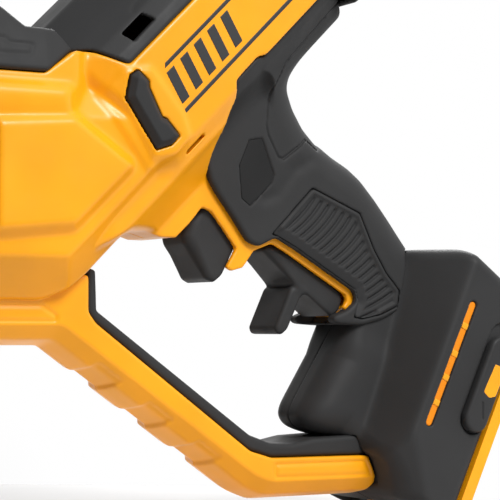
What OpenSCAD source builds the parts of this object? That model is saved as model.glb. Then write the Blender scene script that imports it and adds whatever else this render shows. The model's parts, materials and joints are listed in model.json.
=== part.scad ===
// Cordless reciprocating saw, bare tool with a blade fitted.
// The blade runs along X and points to -X. +Z is up. The origin is where the
// blade's line crosses the shoe's working face.
// Side view outlines are drawn from the crank's centre: first number back, second up.

/* [Drive] */
// Distance from the shoe's face back to the crank's centre
crank_x = 185; // [184:1:186]
// Blade stroke
stroke = 28.6; // [26:0.1:28.6]
// Teeth on the motor pinion
pinion_teeth = 8; // [8:1:8]
// Teeth on the crank gear
gear_teeth = 40; // [40:1:40]
// Plunger diameter
plunger_d = 16; // [15:0.5:16]
// Blade length in front of the shoe
blade_reach = 118; // [100:1:150]

/* [Body] */
// Half width of the motor barrel and gear block
body_half = 36; // [36:0.5:37]
// Half width of the yellow handle core and trigger rim
core_half = 14.5; // [14:0.5:15]
// Half width of the rubber grip
grip_half = 18; // [17.5:0.5:18.5]
// Half width of the guard bar
bar_half = 17; // [16.5:0.5:17]
// Wall of the moulded housings
wall = 3; // [2.8:0.1:3.1]

/* [Foot] */
// Half width of the battery foot
foot_half = 38; // [37.5:0.5:39]
// Half width of the gap the battery's rails slide in
mouth_half = 26; // [24:0.5:28]

/* [Hidden] */
$fn = 64;
motor_tilt = 45;
foot_tilt = 25;
fit = 0.05;            // radial running clearance
gap = 0.25;            // clearance between touching moulded parts
crank_r = stroke / 2;
pinion_near = 20;      // inner end of the bevel teeth, from the crank's centre
pinion_far = 27;       // outer end of the bevel teeth
pinion_slope = pinion_teeth / gear_teeth;
roller_d = 8;
slot_half = roller_d / 2 + 1.15;   // yoke slot, wide enough for a linear coupling
yoke_wall = 2.6;
yoke_y = [-17, -9];
gear_room = 28.4;
barrel_end = 140;      // end of the yellow barrel along the motor's axis
cap_end = 157;
barrel_low = -32;      // barrel's lower face across the motor's axis
yellow_low = -20;      // where the grip's rubber starts on the barrel's side
barrel_split = 13.5;   // where the top cover starts
barrel_top = 40.8;
shaft_d = 8;
stator_r = 27.5;
rotor_r = 14;
foot_at = [191.7, -89.1];  // battery face centre
foot_low = -48;
foot_top = 47;
bay_half = 32;
neck_half = 22;
shoe_w = 34;
shoe_pivot = [-173, -18];
shoe_lever_at = [-86, -31];
hook_at = [-36, 66];
trigger_angle = 40;    // the trigger slides back and up at this angle
lever_pivot = [126, -42];

// ---- helpers ----------------------------------------------------------

// Draws its 2D children in the side view, from y0 to y1.
module slab(y0, y1) {
    translate([0, y1, 0]) rotate([90, 0, 0]) linear_extrude(height = y1 - y0) children();
}
// Extrudes its 2D children, drawn across and up, along X from x0 to x1.
module prism(x0, x1) {
    translate([x0, 0, 0]) rotate([90, 0, 90]) linear_extrude(height = x1 - x0) children();
}
// Moves to the crank's centre, where the side view outlines start.
module at_crank() { translate([crank_x, 0, 0]) children(); }
// X runs along the motor's axis from the crank, and Z across it, upward.
module at_motor() { at_crank() rotate([0, -motor_tilt, 0]) children(); }
// X runs out of the battery face, and Z up along it.
module at_foot() {
    at_crank() translate([foot_at[0], 0, foot_at[1]]) rotate([0, foot_tilt, 0]) children();
}
// Moves to a point of the side view.
module at_point(p) { translate([p[0], 0, p[1]]) children(); }
// A round bar along X from x0 to x1.
module bar_x(x0, x1, d) { translate([x0, 0, 0]) rotate([0, 90, 0]) cylinder(h = x1 - x0, d = d); }
// A round bar along Y from y0 to y1.
module bar_y(y0, y1, d) { translate([0, y1, 0]) rotate([90, 0, 0]) cylinder(h = y1 - y0, d = d); }
// Tubes along X, Y and Z.
module tube_x(x0, x1, outer, inner) {
    difference() {
        bar_x(x0, x1, outer);
        bar_x(x0 - 1, x1 + 1, inner);
    }
}
module tube_y(y0, y1, outer, inner) {
    difference() {
        bar_y(y0, y1, outer);
        bar_y(y0 - 1, y1 + 1, inner);
    }
}
module tube_z(z0, z1, outer, inner) {
    translate([0, 0, z0]) difference() {
        cylinder(h = z1 - z0, d = outer);
        translate([0, 0, -1]) cylinder(h = z1 - z0 + 2, d = inner);
    }
}
// A box given by its two corners.
module block(low, high) { translate(low) cube(high - low); }
// A rectangle given by its two corners.
module rect(low, high) { translate(low) square(high - low); }
// The mirrored twin of a left hand part.
module other_side() { mirror([0, 1, 0]) children(); }
module both_sides() {
    children();
    other_side() children();
}

// ---- side view outlines ---------------------------------------------------

along = [cos(motor_tilt), sin(motor_tilt)];
across = [-sin(motor_tilt), cos(motor_tilt)];
function barrel_point(a, c) = a * along + c * across;

block_outline = [[-30, 39], [-6, 39], [1, 46.5], [11, 47], [24.5, 43.6], barrel_point(60, barrel_split),
    barrel_point(60, yellow_low), barrel_point(48, barrel_low), [13, -32.3], [6, -38.7], [-3.5, -42.6], [-30, -42.6]];
block_room = [[-31, 36], [-4.5, 36], [2.5, 43.5], [20, 43.2], [23, 39], barrel_point(61, barrel_split - wall),
    barrel_point(61, barrel_low + 1.7), [11, -31.9], [4.5, -36], [-4.5, -39.6], [-31, -39.6]];
facet_outline = [[1, 21.3], [22.7, 6], [1, -15.3], [-27.5, -18], [-27.5, 19]];
grip_outline = [[129, 80.5], [118, 79], [89.5, 52], [84, 49.6], [76.3, 41.7], [73.3, 31.8],
    [67.1, 19.5], [65.8, 14], [67.2, 5.5], [70, -0.5], [77.8, -10.7], [84, -19.3],
    [97.1, -17.6], [105.4, -21.8], [133.7, -38.4], [135, -42.3], [131.3, -46], [119.7, -50],
    [125.6, -51.6], [136, -53], [166, -34], [165.2, -20.8], [155, -7.4], [141.6, 8],
    [127.7, 16.8], [114.8, 27.5], [108, 41.2], [108, 46.4], [112.6, 57.1], [124, 70.2]];
core_outline = [[95, 54], [86.5, 45.5], [80, 38.8], [77, 30.5], [71, 18.5], [69.8, 14], [71, 6.8],
    [73.4, 1.5], [81, -8.5], [86, -15.4], [97.8, -13.4], [107.5, -18.4], [136.6, -35.4], [139.2, -42.8],
    [136.8, -48.8], [162, -33], [161, -21], [151, -8.5], [138, 5], [125, 13.5],
    [111.5, 25.5], [104.4, 40.4], [104.4, 48]];
core_room = [[96, 42], [90, 42], [84, 36], [81, 28], [75, 17], [75.5, 9], [85, -5.5],
    [90, -11.5], [108, -13.5], [138, -31.5], [144, -40], [157, -31], [156.5, -22], [148, -11],
    [136, 1.5], [122, 10.5], [108, 23.5], [101, 39]];
rim_outline = [[14, -24], [30, -16.8], [41, -16.5], [47.5, -18.5], [54, -18.4], [60, -13], [65.5, -6],
    [69.7, -7.6], [80.8, -22.2], [78, -30], [80, -31], [84, -28.8], [88.5, -22.8], [97, -19.8],
    [104.8, -24], [131.6, -39.8], [132.2, -42.2], [129.8, -45], [134.6, -49.2], [141, -46], [150, -30],
    [120, 10], [80, 45], [40, 25]];
trigger_room = [[57, -24], [63, -5], [70, 5], [77, 9], [90, 2], [91, -12], [86, -28], [76, -40], [66, -38]];
lever_room = [[83, -31], [88, -17], [97, -12.5], [107, -16], [134, -32], [135.5, -41], [128, -47.5], [126, -54],
    [100, -52]];
band_outline = [[13, -34], [-30, -38], [-60, -37], [-64, -42], [-58, -52], [-50, -57.5], [-42, -59.8],
    [3.3, -59.9], [84.5, -117.6], [93, -121], [141.5, -121], [145.2, -115], [142, -104.4],
    [96, -104], [85.7, -100.9], [19.5, -51.3], [16.5, -47.2], [16.5, -33]];
band_room = [[6, -44], [-40, -43], [-58, -42], [-53, -51], [-42, -56], [2, -56],
    [85.5, -113.6], [94, -117], [137, -117], [137, -108], [95, -108], [83, -104.4], [12, -55], [11, -48]];
liner_outline = [[16.8, -31], [20.3, -31.6], [20.9, -46.7], [86.7, -94.8], [96, -98.2], [106, -98.8],
    [115.4, -97], [138, -96], [141, -104.1], [96, -103.7], [85.9, -100.6], [19.7, -51], [16.8, -47]];
pad_outline = [[113.5, 2.2], [135.8, -7.1], [142.6, -21.6], [148.7, -31.2], [155, -38], [154.1, -44.2],
    [146.4, -47.5], [137, -49.5], [134, -49.3], [138.5, -42.5], [136.5, -36], [106, -17.8], [98, -14], [93.8, -15.2]];
bumper_outline = [[49, 3.5], [44.5, -11], [44, -18.5], [40, -18.6], [34, -15.8], [38.2, 5.8], [45.3, 10.3], [48.8, 9.7]];
// Foot outlines run out of the battery face, then up along it.
foot_side = [[-5, foot_low], [-5, foot_top], [-41, 56], [-40, 51.5], [-36.8, 43], [-34, -25], [-27, foot_low]];
neck_side = [[-60, -33], [-58, 14], [-57, 30], [-57, 48], [-41, 55.6], [-20, 50], [-20, foot_low + 2],
    [-45, foot_low + 2]];
// Outlines across the barrel: half width, then height above the motor's axis.
barrel_core = [[0, barrel_split], [-body_half, barrel_split], [-body_half, yellow_low], [-33, yellow_low],
    [-31.5, -25], [-24, barrel_low], [0, barrel_low]];
barrel_hollow = [[1, barrel_split + 1], [-body_half + wall, barrel_split + 1], [-body_half + wall, -15],
    [-29.5, -24], [-23, barrel_low + 1.7], [1, barrel_low + 1.7]];
barrel_wrap = [[0, -30], [-31, -21], [-33.2, yellow_low - gap], [-35.8, yellow_low - gap], [-34.5, -26],
    [-26.5, -35], [0, -36.5]];
cover_section = [[0, barrel_top], [-11.3, barrel_top], [-24, 32], [-31, 24.5], [-35, 18],
    [-body_half, barrel_split + gap], [0, barrel_split + gap]];
cover_hollow = [[1, barrel_top - wall], [-10, barrel_top - wall], [-22, 29], [-28.5, 22], [-32, 16],
    [-body_half + wall, barrel_split - 1], [1, barrel_split - 1]];

// ---- moulded housings ---------------------------------------------------

// One yellow clamshell half, on the -Y side: gear block, motor barrel, trigger rim and guard bar.
module housing_half() {
    difference() {
        union() {
            at_crank() {
                slab(-body_half, 0) polygon(block_outline);
                slab(-core_half, 0) polygon(rim_outline);
                slab(-core_half + 0.5, 0) polygon(core_outline);
                slab(-bar_half, 0) polygon(band_outline);
                slab(-body_half - 2.5, -body_half + 1) polygon(facet_outline);
            }
            at_motor() prism(50, barrel_end) polygon(barrel_core);
        }
        at_crank() {
            slab(-body_half + wall, 1) polygon(block_room);
            slab(-core_half + wall, 1) polygon(core_room);
            slab(-12.2, 1) polygon(trigger_room);
            slab(-12.2, 1) polygon(lever_room);
            slab(-bar_half + wall, 1) polygon(band_room);
            screw_places() bar_y(-screw_reach, 1, screw_d + 0.2);
        }
        at_motor() prism(44, barrel_end + 1) polygon(barrel_hollow);
    }
}
// Screws that close the housing, with their heads sunk in the right half.
screws_at = [[-22, -51], [40, -79.5], [84, -110], [118, 8], [148, -22]];
screw_d = 3.2;
screw_reach = 11;
screw_head = 6;
module screw_places() { for (p = screws_at) at_point(p) children(); }
module housing_left() { color("goldenrod") housing_half(); }
module housing_right() {
    color("goldenrod") difference() {
        other_side() housing_half();
        at_crank() screw_places() bar_y(screw_reach - 0.1, 60, screw_head + 0.4);
    }
}

module housing_screws() {
    color("dimgray") at_crank() screw_places() {
        bar_y(1 - screw_reach, screw_reach, screw_d);
        bar_y(screw_reach, screw_reach + 2.4, screw_head);
    }
}

// Black cover over the top of the motor barrel, with an air slot on each side.
cover_end = [[48.8, barrel_split], [41.5, 25.8], [40.3, 27.2], [40.3, barrel_top + 1], [barrel_end - gap, barrel_top + 1],
    [barrel_end - gap, barrel_split]];
module top_cover() {
    color("dimgray") at_motor() difference() {
        intersection() {
            prism(30, barrel_end) union() {
                polygon(cover_section);
                mirror([1, 0]) polygon(cover_section);
            }
            slab(-body_half, body_half) polygon(cover_end);
        }
        translate([4, 0, 0]) prism(35, barrel_end) union() {
            polygon(cover_hollow);
            mirror([1, 0]) polygon(cover_hollow);
        }
        block([55, -body_half - 1, 18.2], [68.5, body_half + 1, 23]);
    }
}

// Black cap on the end of the motor barrel, with exhaust slots and the rear bearing's sleeve.
module end_cap() {
    color("dimgray") at_motor() {
        difference() {
            slab(-body_half, body_half)
                polygon([[barrel_end, barrel_low - 3], [cap_end - 6, barrel_low - 3], [cap_end, barrel_low + 5],
                    [cap_end, barrel_top - 9], [cap_end - 7, barrel_top], [barrel_end, barrel_top]]);
            slab(-body_half + wall, body_half - wall)
                rect([barrel_end - 1, barrel_low + wall], [cap_end - wall, barrel_top - wall]);
            for (z = [-20 : 8 : 28])
                block([barrel_end + 4, -body_half - 1, z - 1.5], [cap_end - 5, body_half + 1, z + 1.5]);
        }
        tube_x(125, cap_end - 2, 27, 22 + 2 * fit);
    }
}

// Black shroud above the gear block, which carries the hook's bracket.
module front_shroud() {
    color("dimgray") at_crank() difference() {
        slab(-body_half + 1, body_half - 1)
            polygon([[-30, 39.3], [-6.2, 39.3], [0.8, 46.9], [8.5, 47.4], [2, 54.3], [-15, 54.8], [-24, 62],
                [-52, 62], [-66, 50], [-66, 40], [-30, 40]]);
        slab(-body_half + 4, body_half - 4)
            polygon([[-31, 36], [-7.5, 36], [-4, 49], [-14, 51], [-22, 56], [-50, 58], [-63, 48], [-63, 36]]);
    }
}

// Rubber boot over the front of the gearcase.
module nose_boot() {
    color("dimgray") at_crank() difference() {
        union() {
            slab(-34, 34) polygon([[-66, -38], [-30.3, -41], [-30.3, 38.6], [-66, 38.6]]);
            slab(-29, 29) polygon([[-104, -30], [-66, -38], [-66, 38], [-104, 30]]);
        }
        slab(-24.3, 24.3) polygon([[-121, -18.3], [-104, -18.3], [-70, -24.4], [-36, -33.6], [-28, -33.6],
            [-28, 36.4], [-36, 36.4], [-70, 26.4], [-104, 20.4], [-121, 20.4]]);
        block([-120, -9.6, -26.2], [-56, 9.6, -17]);
        block([-97, -16, -50], [-62, 16, -16]);
        slab(-bar_half - gap, bar_half + gap) polygon([[-64.3, -36.7], [-28, -37.7], [-28, -50], [-64.3, -50]]);
        boot_grooves();
        case_screw_places() bar_y(-29, 29, 8);
        at_point([0, 24]) bar_x(-107, -100, 7.4);
    }
}
// Finger grooves across the boot's flanks.
module boot_grooves() {
    both_sides() for (x = [-60 : 8 : -36]) block([x, -36, -20], [x + 3, -32.5, 20]);
}

// ---- grip ---------------------------------------------------------------

module grip_half_shell() {
    difference() {
        union() {
            at_crank() slab(-grip_half, 0) polygon(grip_outline);
            at_motor() prism(88, barrel_end - gap) polygon(barrel_wrap);
        }
        at_crank() {
            slab(-core_half + gap, 1) polygon(core_outline);
            slab(-core_half - 0.3, 1) polygon(rim_outline);
            slab(-11.8, 1) polygon(lever_room);
            slab(-body_half, body_half) polygon(block_outline);
            slab(-grip_half - 1, -grip_half + 2) polygon(pad_outline);
            foot_solid(gap);
        }
        at_motor() prism(45, barrel_end + 20) polygon(concat([[1, 20], [-40, 20], [-40, yellow_low - gap]],
            [[-33.3, yellow_low - gap], [-31.8, -25.2], [-24.2, barrel_low - gap], [1, barrel_low - gap]]));
        at_motor() block([barrel_end - gap, -40, -60], [barrel_end + 30, 1, barrel_low + 2]);
    }
}
module grip_left() { color("dimgray") grip_half_shell(); }
module grip_right() { color("dimgray") other_side() grip_half_shell(); }
// Ribbed finger pads let into the grip.
module grip_pads() {
    color("dimgray") both_sides() at_crank() difference() {
        slab(-grip_half - 0.6, -grip_half + 1.9) polygon(pad_outline);
        foot_solid(0.3);
    }
}

module guard_liner() { color("dimgray") at_crank() slab(-15, 15) polygon(liner_outline); }

// Rubber bumpers that keep the housing off the bench when it lies on its side.
module side_bumpers() {
    color("dimgray") both_sides() at_motor() slab(-body_half - 3.5, -body_half) polygon(bumper_outline);
}

// ---- battery foot --------------------------------------------------------

// The foot's outer shape, grown by extra: a block for the battery and a neck up to the grip.
module foot_solid(extra) {
    at_point(foot_at) rotate([0, foot_tilt, 0]) {
        slab(-foot_half, foot_half) translate([-extra, 0]) polygon(foot_side);
        slab(-neck_half - extra, neck_half + extra) translate([-extra, extra]) polygon(neck_side);
    }
}
module foot_half_shell() {
    difference() {
        at_crank() intersection() {
            foot_solid(0);
            block([0, -60, -200], [300, 0, 100]);
        }
        at_foot() {
            block([-9.5, -mouth_half, foot_low - 1], [0, 1, foot_top - 7]);
            block([-19, -bay_half, foot_low - 1], [-9.2, 1, foot_top - 7]);
            block([-33.8, -bay_half, foot_low + 16], [-21, 1, foot_top - 5]);
            slab(-neck_half + 4, 1) polygon([[-56, -30], [-33, -36], [-33, 42], [-50, 42], [-54, 12]]);
            block([-33.4, -foot_half - 1, -18], [-30.2, -foot_half + 2, 37]);
            block([-18.9, -foot_half - 1, -13], [-6.6, -foot_half + 1.5, 33]);
        }
        at_crank() {
            slab(-bar_half - gap, 1) polygon(band_outline);
            slab(-15 - gap, 1) polygon(liner_outline);
            slab(-core_half + 0.5, 1) polygon(core_outline);
        }
    }
}
module foot_left() { color("dimgray") foot_half_shell(); }
module foot_right() { color("dimgray") other_side() foot_half_shell(); }
// Yellow lips along the battery face.
module foot_trim() {
    color("goldenrod") both_sides() at_foot()
        block([-4.9, -foot_half, foot_low], [0, -mouth_half, foot_top]);
}
// Yellow ribbed inserts in the foot's cooling slots.
module foot_vents() {
    color("goldenrod") both_sides() at_foot() difference() {
        block([-33.2, -foot_half + 0.3, -17.8], [-30.4, -foot_half + 1.9, 36.8]);
        for (v = [-10 : 10 : 30]) block([-34, -foot_half - 1, v - 2.5], [-29, -foot_half + 1, v + 2.5]);
    }
}
// Two speed slide on the left of the foot.
module speed_selector() {
    color("dimgray") at_foot() block([-18.5, -foot_half - 3, -12.5], [-7, -foot_half + 1.2, 27]);
}

// Plastic carrier and blade contacts that meet the battery.
module terminal_block() { color("dimgray") at_foot() block([-18.8, -22, 20], [-10, 22, 39.8]); }
module terminals() {
    color("silver") at_foot() for (y = [-15 : 6 : 15]) block([-17, y - 0.4, 5], [-11, y + 0.4, 20]);
}

// ---- hook ----------------------------------------------------------------

module hook_bracket() {
    color("dimgray") at_crank() difference() {
        slab(-14, 14) polygon([[-52, 62.2], [-48, 70], [-42, 73], [-32, 73], [-25, 62.2]]);
        slab(-8, 8) rect([-60, 60], [-30, 80]);
        at_point(hook_at) bar_y(-12, 12, 5);
    }
}
module hook_pin() { color("silver") at_crank() at_point(hook_at) bar_y(-12, 12, 5 - 2 * fit); }
// Flat steel hook, folded forward over the nose.
module rafter_hook() {
    color("silver") at_crank() difference() {
        slab(-7.5, 7.5) polygon([[-32, 66], [-33, 69.5], [-36, 71], [-100, 68], [-104, 64], [-104, 46], [-100, 46],
            [-99, 63], [-56, 64.4], [-40, 63.2], [-34, 62.6]]);
        at_point(hook_at) bar_y(-20, 20, 5 + 2 * fit);
    }
}

// ---- trigger and lock lever ------------------------------------------------

module trigger() {
    color("dimgray") at_crank() difference() {
        slab(-11, 11) polygon([[65.6, -7], [61, -12.6], [59.5, -18], [63.2, -23.4], [66.6, -29.4], [69, -33.6],
            [72.5, -35.2], [76.5, -31], [81, -23], [81, -10], [74, -1]]);
        spring_place() translate([0, 0, -12]) cylinder(h = 30, d = 6);
    }
}
module spring_place() { at_point([78.5, -10]) rotate([0, 90 - trigger_angle, 0]) children(); }
module trigger_spring() { color("silver") at_crank() spring_place() tube_z(-3, 13, 5, 3.4); }
module switch_module() {
    color("firebrick") at_crank() slab(-10.5, 10.5)
        polygon([[91.7, -6], [100, -10.5], [118, -12], [110, 10], [97, 24], [86.7, 14]]);
}
// Lever under the trigger that has to be squeezed before the trigger works.
module lock_lever() {
    color("dimgray") at_crank() difference() {
        union() {
            slab(-11, 11) polygon([[91, -25.5], [97, -22.6], [103.8, -26.6], [126, -38], [129.5, -41.4],
                [126, -48.2], [116, -45], [105, -41], [94, -31]]);
            slab(-11, 11) polygon([[108, -41.5], [113.2, -39], [105.8, -53.4], [101.3, -55.2], [100.6, -53]]);
        }
        at_point(lever_pivot) bar_y(-12, 12, 3 + 2 * fit);
        block([94.5, -3, -34.5], [104.5, 3, -15]);
    }
}
module lever_pin() { color("silver") at_crank() at_point(lever_pivot) bar_y(-12, 12, 3); }
module lever_spring() { color("silver") at_crank() at_point([101, -28.6]) tube_z(0, 13, 5, 3.4); }

// ---- electronics ------------------------------------------------------------

module heat_sink() { color("silver") at_foot() block([-33.6, -26, -28], [-30.1, 26, 40]); }
module controller() { color("seagreen") at_foot() block([-30, -26, -28], [-22, 26, 40]); }

// ---- motor -------------------------------------------------------------------

module motor_shaft() { color("silver") at_motor() bar_x(pinion_far + 1, 134, shaft_d); }
module rotor() { color("silver") at_motor() tube_x(74, 112, 2 * rotor_r, shaft_d); }
module stator() {
    color("silver") at_motor() {
        tube_x(72, 114, 2 * stator_r, 2 * rotor_r + 12);
        for (i = [0 : 5]) rotate([60 * i, 0, 0]) block([72, -3, rotor_r + 0.5], [114, 3, rotor_r + 6.5]);
    }
}
module windings() {
    color("peru") at_motor() {
        tube_x(66, 71.9, 2 * stator_r - 6, 2 * rotor_r + 4);
        tube_x(114.1, 120, 2 * stator_r - 6, 2 * rotor_r + 4);
    }
}
fan_blades = 11;
module fan() {
    color("dimgray") at_motor() {
        tube_x(50, 62, 14, shaft_d);
        tube_x(50, 51.5, 52, 13);
        for (i = [0 : fan_blades - 1]) rotate([360 / fan_blades * i, 0, 0]) block([51, -0.7, 6.5], [61, 0.7, 25.5]);
    }
}
module front_bearing() { color("silver") at_motor() tube_x(32, 40, 24, shaft_d + 2 * fit); }
module rear_bearing() { color("silver") at_motor() tube_x(126, 133, 22, shaft_d + 2 * fit); }

// ---- gearcase and drive ---------------------------------------------------------

case_front = [[-104, -18], [-104, 20], [-70, 26], [-36, 30.4], [0, 30.4], [0, -30.4], [-36, -30.4], [-70, -24]];
case_hollow = [[-74, -18], [-74, 14], [-60, 20], [-42, gear_room], [0, gear_room], [0, -gear_room],
    [-42, -gear_room], [-60, -22]];
case_screws_at = [[-92, 15.5], [-92, -14.5], [-52, 25.4], [-52, -25.6]];
module case_screw_places() { for (p = case_screws_at) at_point(p) children(); }

// One gearcase half, on the -Y side.
module gearcase_half() {
    at_crank() difference() {
        union() {
            slab(-24, 0) polygon(case_front);
            slab(-24, 0) circle(r = gear_room + 1.4);
            rotate([0, -motor_tilt, 0]) intersection() {
                bar_x(26, 41, 32);
                block([0, -40, -40], [60, 0, 40]);
            }
            slab(-14, -10.4) polygon([[-92, -16], [-92, -35], [-80, -35], [-80, -16]]);
        }
        slab(-20.5, 1) polygon(case_hollow);
        slab(-20.5, 1) circle(r = gear_room);
        bar_x(-110, -70, plunger_d + 6);
        rotate([0, -motor_tilt, 0]) bar_x(24, 50, 24);
        block([-120, -9.3, -26], [-56, 1, -21.6]);
        at_point(shoe_lever_at) bar_y(-20, 1, 5 + 2 * fit);
        case_screw_places() bar_y(-26, 1, 3.6);
    }
}
module gearcase_left() { color("silver") gearcase_half(); }
// The right half also holds the crank bearing.
module gearcase_right() {
    color("silver") {
        other_side() gearcase_half();
        at_crank() tube_y(15.4, 21, 32, 26);
    }
}
module gearcase_screws() {
    color("dimgray") at_crank() case_screw_places() {
        bar_y(-23.5, 23.5, 3.5);
        bar_y(-27, -24, 7);
    }
}

module bush(x0, x1) { at_crank() tube_x(x0, x1, plunger_d + 6, plunger_d + 2 * fit); }
module front_bush() { color("peru") bush(-103.5, -92); }
module rear_bush() { color("peru") bush(-86, -74.5); }
module nose_seal() { color("dimgray") at_crank() tube_x(-108, -104, 30, plunger_d + 0.6); }

yoke_pin_at = [-51, 0];
module plunger() {
    color("silver") at_crank() difference() {
        bar_x(-124, -44, plunger_d);
        at_point(yoke_pin_at) bar_y(-20, 0, 6);
    }
}
// Scotch yoke beside the plunger's tail, with an upright slot for the crank's roller.
module yoke() {
    reach = slot_half + yoke_wall;
    color("silver") at_crank() difference() {
        slab(yoke_y[0], yoke_y[1]) {
            rect([-reach, -crank_r], [reach, crank_r]);
            for (s = [-1, 1]) translate([0, s * crank_r]) circle(r = reach);
            polygon([[-58, -7.5], [-58, 7.5], [-26, 8], [-5.5, 16], [-5.5, -16], [-26, -8]]);
        }
        slab(yoke_y[0] - 1, yoke_y[1] + 1) {
            rect([-slot_half, -crank_r], [slot_half, crank_r]);
            for (s = [-1, 1]) translate([0, s * crank_r]) circle(r = slot_half);
        }
        at_point(yoke_pin_at) bar_y(yoke_y[0] - 1, yoke_y[1] + 1, 6);
    }
}
module yoke_pin() { color("silver") at_crank() at_point(yoke_pin_at) bar_y(yoke_y[0], 0, 6); }

// Crank wheel with bevel teeth facing the pinion.
module crank_gear() {
    color("silver") at_crank() difference() {
        union() {
            bar_y(8.6, 15, 2 * pinion_far);
            bar_y(1, 8.6, 2 * pinion_near - 5);
            bar_y(15, 20, 14);
            for (i = [0 : gear_teeth - 1]) rotate([0, (i + 0.5) * 360 / gear_teeth - motor_tilt, 0])
                translate([pinion_near, 0, 0]) rotate([0, 0, atan(pinion_slope)])
                    block([0, pinion_near * pinion_slope - 0.8, -0.45], [6.4, 7, 0.45]);
        }
        at_point([0, crank_r]) bar_y(0, 16, 6);
    }
}
module crank_pin() { color("silver") at_crank() at_point([0, crank_r]) bar_y(-17.5, 15, 6); }
module crank_roller() { color("peru") at_crank() at_point([0, crank_r]) tube_y(-17, -9, roller_d, 6); }
module crank_bearing() { color("silver") at_crank() tube_y(15.4, 20.4, 26, 14 + 2 * fit); }
// Bevel pinion whose teeth run to a point at the crank's centre.
module bevel_pinion() {
    pitch_r = pinion_far * pinion_slope;
    color("silver") at_motor() {
        translate([pinion_far, 0, 0]) rotate([0, -90, 0])
            linear_extrude(height = pinion_far - pinion_near, scale = pinion_near / pinion_far)
                for (i = [0 : pinion_teeth - 1]) rotate(i * 360 / pinion_teeth)
                    polygon([[0, -1.3], [pitch_r - 1.2, -1.1], [pitch_r + 0.9, -0.45], [pitch_r + 0.9, 0.45],
                        [pitch_r - 1.2, 1.1], [0, 1.3]]);
        bar_x(pinion_near + 0.1, pinion_far + 1, 5);
    }
}

// ---- blade clamp, blade and shoe ---------------------------------------------------

module clamp_body() {
    color("silver") at_crank() difference() {
        union() {
            bar_x(-152, -124, 15);
            bar_x(-128, -124, 19);
        }
        block([-153, -0.6, -6.2], [-131, 0.6, 6.2]);
    }
}
module clamp_collar() {
    color("dimgray") at_crank() {
        tube_x(-151, -133, 25, 15 + 2 * fit);
        for (i = [0 : 2]) rotate([120 * i + 40, 0, 0]) block([-149, -2.2, 12], [-135, 2.2, 15]);
    }
}
module clamp_spring() { color("silver") at_crank() tube_x(-132.8, -128, 20, 17); }
blade_half = 9.5;
teeth_count = 30;
teeth_pitch = 4.2;
tooth_depth = 1.7;
module saw_blade() {
    tip = -crank_x - blade_reach;
    color("gainsboro") at_crank() slab(-0.6, 0.6) polygon(concat(
        [[-131, 6.2], [-152, 6.2], [-160, blade_half], [tip + 6, blade_half], [tip, 4]],
        [for (i = [1 : teeth_count * 2]) [tip + 2 + i * teeth_pitch / 2, -blade_half + tooth_depth * (i % 2)]],
        [[-168, -blade_half], [-152, -6.2], [-131, -6.2]]));
}

// Shoe post that slides under the gearcase's nose.
module shoe_post() {
    color("silver") at_crank() difference() {
        union() {
            block([-176, -9, -25.5], [-60, 9, -22]);
            both_sides() block([-179, -12, -26], [-166, -9, -12]);
            block([-176, -12, -25.5], [-166, 12, -22]);
        }
        block([-100, -2.5, -28], [-74, 2.5, -20]);
        at_point(shoe_pivot) bar_y(-14, 14, 5);
    }
}
module shoe_pin() { color("silver") at_crank() at_point(shoe_pivot) bar_y(-14.5, 14.5, 5 - 2 * fit); }
// Pivoting shoe with a window for the blade.
module shoe_plate() {
    color("silver") at_crank() difference() {
        translate([-crank_x, 0, 0]) union() {
            block([0, -shoe_w / 2, -24], [2.5, shoe_w / 2, 22]);
            block([0, -shoe_w / 2, 19.5], [10, shoe_w / 2, 22]);
            both_sides() block([2, 12.2, -23], [17, 14.7, -12]);
        }
        block([-crank_x - 1, -4.5, -18], [3 - crank_x, 4.5, 17]);
        at_point(shoe_pivot) bar_y(-16, 16, 5);
    }
}
module shoe_lever() {
    color("goldenrod") at_crank() {
        at_point(shoe_lever_at) {
            bar_y(-10.2, 10.2, 8);
            bar_y(-15, 15, 5);
        }
        block([-88, -9, -38], [-66, 9, -34.6]);
    }
}
module work_light() { color("white") at_crank() translate([0, 0, 24]) bar_x(-106, -102, 7); }

// ---- choice of node ----------------------------------------------------------------

housing_left();
housing_right();
top_cover();
end_cap();
front_shroud();
nose_boot();
grip_left();
grip_right();
grip_pads();
guard_liner();
side_bumpers();
foot_left();
foot_right();
foot_trim();
foot_vents();
speed_selector();
hook_bracket();
rafter_hook();
hook_pin();
housing_screws();
trigger();
trigger_spring();
switch_module();
lock_lever();
lever_pin();
lever_spring();
controller();
heat_sink();
terminal_block();
terminals();
gearcase_left();
gearcase_right();
gearcase_screws();
nose_seal();
front_bush();
rear_bush();
plunger();
yoke();
yoke_pin();
crank_gear();
crank_pin();
crank_roller();
crank_bearing();
bevel_pinion();
motor_shaft();
rotor();
fan();
front_bearing();
rear_bearing();
stator();
windings();
clamp_body();
clamp_collar();
clamp_spring();
saw_blade();
shoe_post();
shoe_plate();
shoe_pin();
shoe_lever();
work_light();
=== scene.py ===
"""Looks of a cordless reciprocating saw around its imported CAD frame.

Shells are sculpted as distance fields and meshed, in millimetres from the crank's centre:
x back, y to the right, z up. Every piece then goes to the row frame in metres.
"""
import json
import math

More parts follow.
